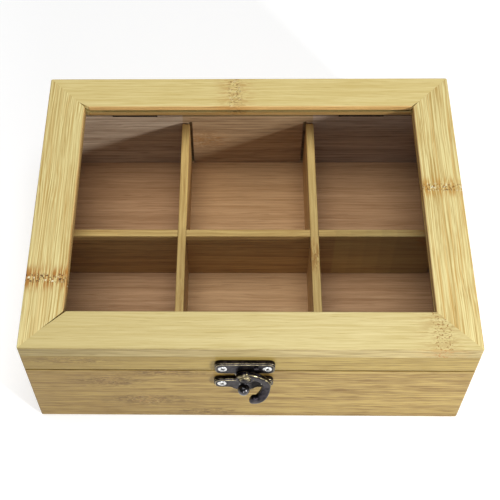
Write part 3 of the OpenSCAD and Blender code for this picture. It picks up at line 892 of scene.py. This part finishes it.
# %% Press the cross-head screws
def screw_head(across, up, turn, base):
    """Rings of a screw head with a pressed cross, its axis across the front.

    Out at radius r is base + dome * (1 - (r / R) ** 2) - depth * step(distance to the cross).
    """
    radius = np.r_[np.linspace(0, head_r * 0.93, 34), head_r * 0.97, head_r * 0.99, head_r]
    angle = np.linspace(0, 2 * np.pi, 96, endpoint=False)
    r, a = np.meshgrid(radius, angle, indexing="ij")
    x, y = r * np.cos(a), r * np.sin(a)
    dome, depth, rim_drop, long, short = 0.25, 0.75, 0.16, 1.35, 0.36
    bar = np.minimum(np.maximum(np.abs(x) - long, np.abs(y) - short),
                     np.maximum(np.abs(y) - long, np.abs(x) - short))
    bar = np.minimum(bar, np.hypot(x, y) - 0.62)
    press = np.clip((0.06 - bar) / 0.16, 0, 1)
    edge = np.clip((r - head_r * 0.9) / (head_r * 0.1), 0, 1)
    out = (base + dome * (1 - (r / head_r) ** 2) - rim_drop * edge ** 2
           - depth * press * press * (3 - 2 * press))
    c, s = np.cos(turn), np.sin(turn)
    face = stood(across + x * c - y * s, up + x * s + y * c, out)
    cone = [stood(across + rr * np.cos(angle + turn), up + rr * np.sin(angle + turn), base + oo)
            for rr, oo in ((head_r, -0.3), (1.2, -1.2), (1.2, -3.0), (0.0, -3.0))]
    return np.concatenate([face, np.stack(cone)])


def join(pieces, name):
    """Makes one piece of several."""
    meshes = bmesh.new()
    for piece in pieces:
        meshes.from_mesh(piece.data)
    mesh = bpy.data.meshes.new(name)
    meshes.to_mesh(mesh)
    meshes.free()
    for piece in pieces:
        bpy.data.objects.remove(piece)
    joined = bpy.data.objects.new(name, mesh)
    bpy.context.scene.collection.objects.link(joined)
    mesh.shade_smooth()
    mesh.set_sharp_from_angle(angle=np.radians(50))
    return joined


plate_screws = {}
for node, body, turns in (("hook_plate_screws", "lid", (0.5, 1.1)),
                          ("catch_plate_screws", "case", (0.85, 0.2))):
    heads = [make_piece(f"head_{k}", screw_head(*place, turn, plate_t), None)
             for k, (place, turn) in enumerate(zip(screw_places[node], turns))]
    plate_screws[node] = join(heads, node)
    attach(plate_screws[node], body)
    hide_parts(node)
print("plate screws:", sum(len(piece.data.polygons) for piece in plate_screws.values()), "faces")

# %% [markdown]
# ## Wear on the metal
# Old bronze is dark in the hollows and rubbed bright on its edges. How sharply a surface bends at
# a vertex is measured on the mesh and stored as an attribute, which the finish then reads.

# %% Measure the edges
def mark_wear(piece, rubbed=None, full=22.0):
    """Stores, at each vertex, the largest outward bend of its edges, divided by `full` degrees.

    The bend of an edge is the angle between its two faces' normals, counted where the second
    face's middle lies below the first face's plane. rubbed(across, up, out), where given, scales
    it: hands don't reach the foot of a part.
    """
    mesh = piece.data
    loops, faces = len(mesh.loops), len(mesh.polygons)
    edge, total = np.empty(loops, int), np.empty(faces, int)
    normal, middle = np.empty(faces * 3), np.empty(faces * 3)
    mesh.loops.foreach_get("edge_index", edge)
    mesh.polygons.foreach_get("loop_total", total)
    mesh.polygons.foreach_get("normal", normal)
    mesh.polygons.foreach_get("center", middle)
    normal, middle = normal.reshape(-1, 3), middle.reshape(-1, 3)
    owner = np.repeat(np.arange(faces), total)
    order = np.argsort(edge, kind="stable")
    pair = np.flatnonzero(edge[order][1:] == edge[order][:-1])
    one, two = owner[order[pair]], owner[order[pair + 1]]
    bend = np.degrees(np.arccos(np.clip(np.sum(normal[one] * normal[two], 1), -1, 1)))
    outward = np.sum(normal[one] * (middle[two] - middle[one]), 1) < 0
    ends = np.empty(len(mesh.edges) * 2, int)
    mesh.edges.foreach_get("vertices", ends)
    ends = ends.reshape(-1, 2)[edge[order[pair]]]
    wear = np.zeros(len(mesh.vertices))
    for column in (0, 1):
        np.maximum.at(wear, ends[:, column], np.where(outward, np.clip(bend / full, 0, 1), 0))
    if rubbed:
        spots = np.empty(len(mesh.vertices) * 3)
        mesh.vertices.foreach_get("co", spots)
        x, y, z = spots.reshape(-1, 3).T / MM
        wear *= rubbed(x, z, front_y - y)
    mesh.attributes.new("wear", "FLOAT", "POINT").data.foreach_set("value", wear.astype(np.float32))
    print(f"{piece.name}: {np.mean(wear > 0.5):.0%} of the vertices lie on a rubbed edge")


# %% [markdown]
# Fingers rub the bevel of a plate but not the edges of its screw holes, and the top of the hook's
# arm more than its tail. The ball of the peg is lacquered and not rubbed at all.

# %% Rub the latch
def on_rim(distance):
    """Rubbing on a plate: more than 1.6 mm off the wood, and within 1.3 mm of the outline."""
    def rubbed(x, z, out):
        return np.clip((out - 1.6) / 0.3, 0, 1) * np.clip((distance(x, z) + 1.3) / 0.4, 0, 1)
    return rubbed


def on_rim_and_pip(x, z, out):
    """The same on the hook plate, and half as much on the pip, which stands 2.7 mm and more out."""
    return np.maximum(on_rim(hook_plate_distance)(x, z, out), (out > 2.7) * 0.5)


def on_upper_side(x, z, out):
    """Rubbing on the hook: full on top of the arm, little on the tail and the eye's lower half."""
    eye = np.hypot(x - rivet_x, z - rivet_z) < eye_r + 0.3
    return np.where(eye, np.clip((z - rivet_z) / 2, 0.25, 1), np.clip((z - rivet_z + 10) / 3, 0.3, 1))


mark_wear(hook_plate, on_rim_and_pip)
mark_wear(catch_plate, on_rim(catch_plate_distance))
mark_wear(hook, on_upper_side)
mark_wear(hook_rivet)
mark_wear(catch_peg, lambda x, z, out: 0 * out)


# %% [markdown]
# The bronze is a metal in two colours, mixed by the wear and by two sizes of noise. The screws are a second
# metal. Their crosses carry painted shade: near-black where the surface lies deeper than the rim of the
# head.

# %% Mix the metal finishes
def old_bronze(name, shine=1.0, gloss=0.34, thin=0.0, lacquer=0.0):
    """Dark patina over brass: the brass shows where the wear attribute and some noise are high.

    shine is the brass's share there, gloss the roughness, thin how worn it is all over, and
    lacquer how thick a clear coat lies on it.
    """
    finish, shader, here = new_finish(name, Metallic=1.0, Coat_Weight=lacquer, Coat_Roughness=0.26)
    wear = here.node("ShaderNodeAttribute", {"attribute_name": "wear"}, {}, out="Fac")
    blotch = here.scaled(0.55, 0.55, 0.55).cloud(3.0)
    grit = here.scaled(3.0, 3.0, 3.0).cloud(3.0)
    rubbed = (wear * 1.1 + blotch * 0.9 + grit * 0.5 + (thin - 1.05)).smooth(0.15, 0.6) * shine
    dark = blotch.smooth(0.35, 0.65).mix(ink(24, 22, 26), ink(54, 49, 54))
    colour = rubbed.mix(dark, ink(190, 176, 130))
    pits = grit - here.scaled(1.1, 1.1, 1.1).cloud(1.0) * 0.5
    bump = pits.node("ShaderNodeBump", {}, {"Height": pits, "Strength": 0.3, "Distance": 0.0001})
    connect(shader, Base_Color=colour, Roughness=gloss - rubbed * 0.06 + (grit - 0.5) * 0.2, Normal=bump)
    return finish


def bright_steel():
    """Zinc-plated steel: pale, with a faint mottle, and painted near-black deep in the cross, as shade."""
    finish, shader, here = new_finish("bright_steel", Metallic=1.0)
    mottle = here.scaled(1.4, 1.4, 1.4).cloud(3.0)
    scratch = here.scaled(0.6, 0.6, 7.0).cloud(2.0)
    out = front_y - here.node("ShaderNodeSeparateXYZ", {}, {0: here}, out=1)
    # Painted shade: where the surface lies deep, in the cross, the colour is near-black.
    above_recess = out.smooth(plate_t - 0.25, plate_t + 0.1)
    zinc = mottle.smooth(0.3, 0.7).mix(ink(196, 197, 198), ink(226, 226, 224))
    colour = above_recess.mix(ink(26, 25, 26), zinc)
    bump = scratch.node("ShaderNodeBump", {}, {"Height": scratch, "Strength": 0.12, "Distance": 0.0001})
    connect(shader, Base_Color=colour, Roughness=0.2 + mottle * 0.2, Normal=bump)
    return finish


def give(finish, *pieces):
    """Makes a finish the only one of some pieces."""
    for piece in pieces:
        piece.data.materials.clear()
        piece.data.materials.append(finish)


give(bright_steel(), *plate_screws.values())
give(old_bronze("old_bronze"), hook_plate, catch_plate, hook)
give(old_bronze("rivet_bronze", shine=0.4, gloss=0.38, thin=0.25), hook_rivet)
give(old_bronze("peg_bronze", lacquer=1.0), catch_peg)
hinge_nodes = [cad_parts[name] for name in sorted(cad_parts) if "hinge" in name]
give(old_bronze("hinge_bronze", shine=0.3, gloss=0.5), *hinge_nodes)
print("metal finishes on", len(plate_screws) + 5 + len(hinge_nodes), "pieces")

# %% [markdown]
# ## The finish of each board
# No two boards of the real box match. The front and back rails show the broad side of the strips,
# pale with fine lines. The side rails show the strips' edges, with strong yellow and brown lines
# and a row of pinholes across. Their sawn inner faces are browner.

# %% Finish the rails
ALL = 1000.0
SAWN, SOOT = (ink(196, 158, 98), ink(162, 122, 70)), ink(104, 72, 40)
SCORCH, OUTSIDE = ink(98, 74, 34), (ink(198, 172, 116), ink(150, 120, 70))
finishes = {
    "front_rail": bamboo(
        "bamboo_front_rail", "X", ink(220, 204, 147), ink(197, 177, 114), seed=1,
        bands=0.6, lines=1.2, broad=0.5, dashes=0.35, fine=0.75, painted_left_shade=0.5,
        joints=[Joint(89.5, 70, 5.0, ALL, 0.85, 0.0, 0.35)], curl=1.5,
        flame=ink(164, 124, 60), pinhole=ink(150, 104, 48),
        # Painted shade: the rail's front face takes darker colours than its top, and they reach round the
        # rounded front edge, where they dull its highlight.
        lining_and_painted_light=[(1, front_y, -1, ink(172, 155, 106), ink(106, 88, 44))]),
    "back_rail": bamboo(
        "bamboo_back_rail", "X", ink(226, 208, 146), ink(205, 182, 113), seed=2,
        bands=0.6, lines=1.2, broad=0.5, dashes=0.35, fine=0.75,
        joints=[Joint(-7, 70, 4.2, ALL, 0.85, 0.25, 0.4)], curl=3.0,
        lining_and_painted_light=[(1, back_y - rail_w, -1, *SAWN)]),
    "left_rail": bamboo(
        "bamboo_left_rail", "Y", ink(236, 223, 160), ink(184, 152, 84), seed=3,
        bands=0.25, lines=1.3, broad=0.5, dashes=0.2, length=2.2, fine=1.1,
        amber=(0.3, 1.7), ribs=(0.3, 1.35),
        joints=[Joint(-42.0, 70, 2.7, ALL, 1.0, 1.0, 1.0)], curl=1.0, pinhole=SOOT,
        lining_and_painted_light=[(0, rail_w - box_w / 2, 1, *SAWN)]),
    "right_rail": bamboo(
        "bamboo_right_rail", "Y", ink(231, 218, 156), ink(183, 151, 85), seed=4,
        bands=0.6, lines=2.0, broad=0.6, dashes=0.3, length=2.2, fine=0.95,
        amber=(0.5, 1.4), ribs=(0.15, 1.6),
        joints=[Joint(12.0, 70, 2.4, ALL, 1.0, 0.8, 0.8)], curl=1.0,
        flame=ink(184, 134, 56), pinhole=ink(118, 82, 34),
        lining_and_painted_light=[(0, box_w / 2 - rail_w, -1, *SAWN)]),
}
print("rail finishes:", ", ".join(finishes))

# %% [markdown]
# The front skirt and the front wall are browner, with long dark flames and hardly a pinhole.

# %% Finish the front
LINED = (ink(193, 170, 144), ink(146, 122, 98))
finishes["front_skirt"] = bamboo(
    "bamboo_front_skirt", "X", ink(159, 138, 76), ink(113, 90, 40), seed=5,
    bands=0.6, lines=0.8, broad=0.8, dashes=0.5, length=0.7, fine=0.6, painted_left_shade=0.45,
    joints=[Joint(-84, 63, 11, 4, 0.3, 0.0, 0.7)], curl=4.0, flame=SCORCH)
finishes["front_wall"] = bamboo(
    "bamboo_front_wall", "X", ink(162, 139, 79), ink(110, 83, 36), seed=6,
    bands=0.8, lines=1.2, broad=1.0, dashes=0.7, length=0.7, fine=0.6, painted_left_shade=0.4,
    joints=[Joint(-68, 41, 8, 6, 0.4, 0.0, 1.0), Joint(-50, 20, 10, 6, 0.6, 0.1, 1.0),
            Joint(-22, 6, 7, 4, 0.3, 0.0, 1.0), Joint(-40, 50, 9, 3, 0.4, 0.0, 1.0)],
    curl=6.0, flame=SCORCH, lining_and_painted_light=[(1, front_y + wall_t, 1, *LINED)])
print("finishes so far:", len(finishes))

# %% [markdown]
# The other walls and skirts share one recipe; each has its own seed, and its own joint at a place and a
# height. Inside they are lined with the brown of the bare wood. On the back wall's inside the colour carries
# painted light: warm in the middle compartment, where the key lamp shines in, and paler and cooler in the
# outer ones. A mitre's end faces carry painted shade, near-black, which shows only where the mitre has
# opened.

# %% Finish the other walls and skirts
# Painted light inside the back wall: a warm tone in the middle compartment, where the key lamp shines in,
# and paler, cooler tones in the outer ones. The last entry gives the outer face its own colour.
back_lining_and_painted_light = [(1, back_y - wall_t, -1, ink(199, 169, 134), ink(150, 121, 91)),
               (0, limits("left_divider")[0][0], -1, ink(215, 195, 173), ink(164, 141, 120)),
               (0, limits("right_divider")[1][0], 1, ink(205, 184, 168), ink(156, 133, 116)),
               (1, back_y - wall_t + 1.5, 1, *OUTSIDE)]
left_strip = [(0, wall_t - box_w / 2, 1, *LINED)]
right_strip = [(0, box_w / 2 - wall_t, -1, *LINED)]
others = {"back_skirt": ("X", -52, 60, [(1, back_y - wall_t, -1, *LINED)]),
          "left_skirt": ("Y", 38, 60, left_strip), "right_skirt": ("Y", -20, 60, right_strip),
          "back_wall": ("X", -24, 32, back_lining_and_painted_light),
          "left_wall": ("Y", 47, 20, left_strip), "right_wall": ("Y", -33, 38, right_strip)}
for seed, (name, (along, place, height, lining_and_painted_light)) in enumerate(others.items(), 7):
    finishes[name] = bamboo(
        f"bamboo_{name}", along, *OUTSIDE, seed, bands=1.1, lines=1.2, broad=1.0, dashes=0.5,
        joints=[Joint(place, height, 6, 7, 0.4, 0.2, 0.5)], curl=5.0, lining_and_painted_light=lining_and_painted_light)
# Painted shade: the mitres' end faces are near-black, like the shade inside an opened mitre.
mitre_shade, mitre_shade_shader, spot = new_finish("painted_mitre_shade", Roughness=0.8)
connect(mitre_shade_shader, Base_Color=spot.cloud(3.0).mix(ink(12, 8, 5), ink(34, 24, 14)))
for name, board in boards.items():
    give(finishes[name], board)
    board.data.materials.append(mitre_shade)
print("boards with a finish of their own:", len(finishes))

# %% [markdown]
# The dividers are yellower, with painted light on their top edges: these are paler where light from above
# falls on them. The crossing one carries a painted shadow of the lid's right rail, darker in steps towards
# its right end. The base panel carries painted shade: warm in the middle, darker in the outer compartments
# where walls and dividers shade it, and of one colour underneath.

# %% Finish the dividers and the base
# Painted light: the dividers' top edges take paler colours where light from above falls on them, the right
# divider's paler still.
LIT_TOP, BRIGHTER_LIT_TOP = (ink(222, 190, 120), ink(186, 148, 86)), (ink(230, 200, 131), ink(196, 160, 95))
# Painted shadow of the lid's right rail on the crossing divider: from 46 mm on, its colours darken in five
# steps towards its right end.
painted_rail_shadow = [(0, at, 1, ink(218 * share, 187 * share, 118 * share), ink(184 * share, 146 * share, 84 * share))
            for at, share in ((46, 0.97), (54, 0.94), (62, 0.91), (70, 0.87), (78, 0.83))]
long_sides, cross_sides = (ink(218, 181, 116), ink(172, 131, 76)), (ink(208, 171, 109), ink(160, 121, 69))
for seed, name, along, sides, lit_top, painted_shadow, place, height in (
        (14, "left_divider", "Y", long_sides, LIT_TOP, [], -36, 40),
        (15, "right_divider", "Y", long_sides, BRIGHTER_LIT_TOP, [], -12, 44),
        (16, "cross_divider", "X", cross_sides, LIT_TOP, painted_rail_shadow, 98, 44)):
    give(bamboo(f"bamboo_{name}", along, *sides, seed, bands=1.0, lines=1.0, broad=0.8, dashes=0.5,
                joints=[Joint(place, height, 5, 8, 0.5, 0.1, 0.8)], curl=5.0,
                lining_and_painted_light=[(2, limits(name)[1][2] - 0.3, 1, *lit_top)] + painted_shadow), dividers[name])
# Painted shade on the base panel: darker colours in the outer compartments, which the walls and dividers
# shade. The last entry gives the underside one colour.
AISLE_SHADE = (ink(198, 156, 116), ink(164, 122, 82))
aisle_shade_and_underside = [(0, limits("left_divider")[0][0], -1, *AISLE_SHADE), (0, limits("right_divider")[1][0], 1, *AISLE_SHADE),
          (2, base_low[2] + 1, -1, ink(208, 165, 120), ink(173, 131, 87))]
give(bamboo("bamboo_base", "X", ink(212, 170, 125), ink(178, 136, 91), seed=18, bands=0.9, lines=0.8,
            broad=0.8, dashes=0.5, lining_and_painted_light=aisle_shade_and_underside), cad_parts["base_panel"])
print("finishes on the dividers and the base:", len(dividers) + 1)


# %% [markdown]
# ## The window
# The pane is clear acrylic. Light has to pass straight through it, so the finish mixes a
# transparent shader with a mirror. The mirror's share is the usual shortcut for glass: 1.5 % at
# each face when looked at squarely, and more with the fifth power of the slant.

# %% Finish the pane
def clear_pane():
    """Mirror share = 0.015 + 0.9 * slant ** 5; the rest passes. Dust dulls the gloss in places."""
    finish, shader, here = new_finish(
        "clear_pane", Base_Color=(1.0, 1.0, 1.0, 1.0), Metallic=1.0, Roughness=0.04)
    tree = finish.node_tree
    passing = tree.nodes.new("ShaderNodeBsdfTransparent")
    passing.inputs["Color"].default_value = (0.985, 0.99, 0.987, 1.0)
    both = tree.nodes.new("ShaderNodeMixShader")
    slant = here.node("ShaderNodeLayerWeight", {}, {"Blend": 0.5}, out="Facing")
    share = slant.math("POWER", slant, 5.0) * 0.9 + 0.015
    tree.links.new(share.socket, both.inputs[0])
    tree.links.new(passing.outputs[0], both.inputs[1])
    tree.links.new(shader.outputs[0], both.inputs[2])
    tree.links.new(both.outputs[0], tree.nodes["Material Output"].inputs["Surface"])
    dust = here.scaled(0.8, 0.8, 0.8).cloud(3.0)
    connect(shader, Roughness=dust.smooth(0.45, 0.8) * 0.03 + 0.02)
    return finish


give(clear_pane(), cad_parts["window_pane"])
print(f"clear pane {pane_high[2] - pane_low[2]:.1f} mm thick")
